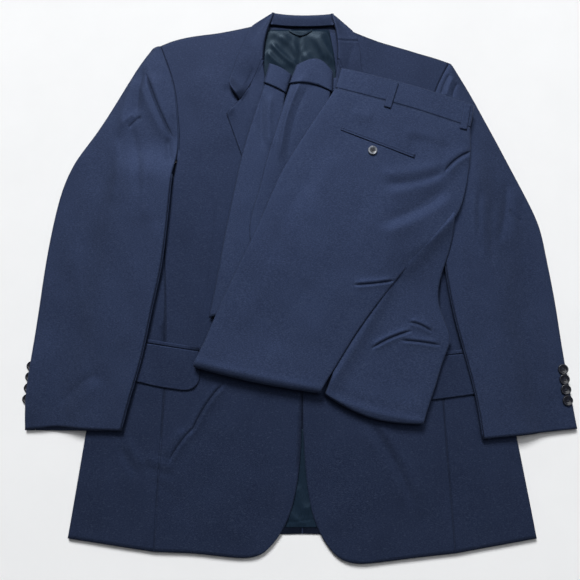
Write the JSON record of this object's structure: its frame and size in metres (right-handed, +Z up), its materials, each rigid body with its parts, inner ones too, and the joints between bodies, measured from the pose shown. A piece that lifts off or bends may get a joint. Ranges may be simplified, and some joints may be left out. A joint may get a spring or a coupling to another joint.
{
  "type": "two-piece suit laid flat",
  "caption": "Dark suit laid flat: a jacket spread face up with its sleeves at its sides, and trousers folded once across the knees lying on top of it.",
  "frame": {"origin": "centre of the footprint on the floor under the laid suit", "axes": "+X towards the sleeve on the right of the picture, +Y from the hem towards the collar, +Z up off the floor"},
  "size_m": [0.8208, 0.857, 0.0272],
  "materials": {
    "suit_cloth": "fine navy wool suiting with a soft twill face",
    "lining_satin": "smooth teal-blue satin lining with a soft gloss",
    "button_horn": "dark glossy horn-look buttons",
    "button_pearl": "grey pearly button with a darker centre"
  },
  "bodies": {
    "root": {"back_left": "suit_cloth", "back_right": "suit_cloth", "side_panel_left": "suit_cloth", "side_panel_right": "suit_cloth", "front_left": "suit_cloth", "front_right": "suit_cloth", "lapel_left": "suit_cloth", "lapel_right": "suit_cloth", "collar_leaf_left": "suit_cloth", "collar_leaf_right": "suit_cloth", "collar_back": "suit_cloth", "lining_neck": "lining_satin", "lining_hem": "lining_satin", "hanger_loop": "lining_satin", "top_sleeve_left": "suit_cloth", "top_sleeve_right": "suit_cloth", "under_sleeve_left": "suit_cloth", "under_sleeve_right": "suit_cloth", "cuff_button_left_1": "button_horn", "cuff_button_left_2": "button_horn", "cuff_button_left_3": "button_horn", "cuff_button_left_4": "button_horn", "cuff_button_right_1": "button_horn", "cuff_button_right_2": "button_horn", "cuff_button_right_3": "button_horn", "cuff_button_right_4": "button_horn", "pocket_welt_left": "suit_cloth", "pocket_flap_left": "suit_cloth", "pocket_welt_right": "suit_cloth", "pocket_flap_right": "suit_cloth", "trouser_folded_layers": "suit_cloth", "trouser_lower_leg_a": "suit_cloth", "trouser_lower_leg_b": "suit_cloth", "turn_up_a": "suit_cloth", "turn_up_b": "suit_cloth", "trouser_far_leg": "suit_cloth", "trouser_near_leg": "suit_cloth", "waistband": "suit_cloth", "belt_loop_side": "suit_cloth", "belt_loop_back": "suit_cloth", "back_pocket_welt_upper": "suit_cloth", "back_pocket_welt_lower": "suit_cloth", "back_pocket_button": "button_pearl"}
  },
  "joints": []
}
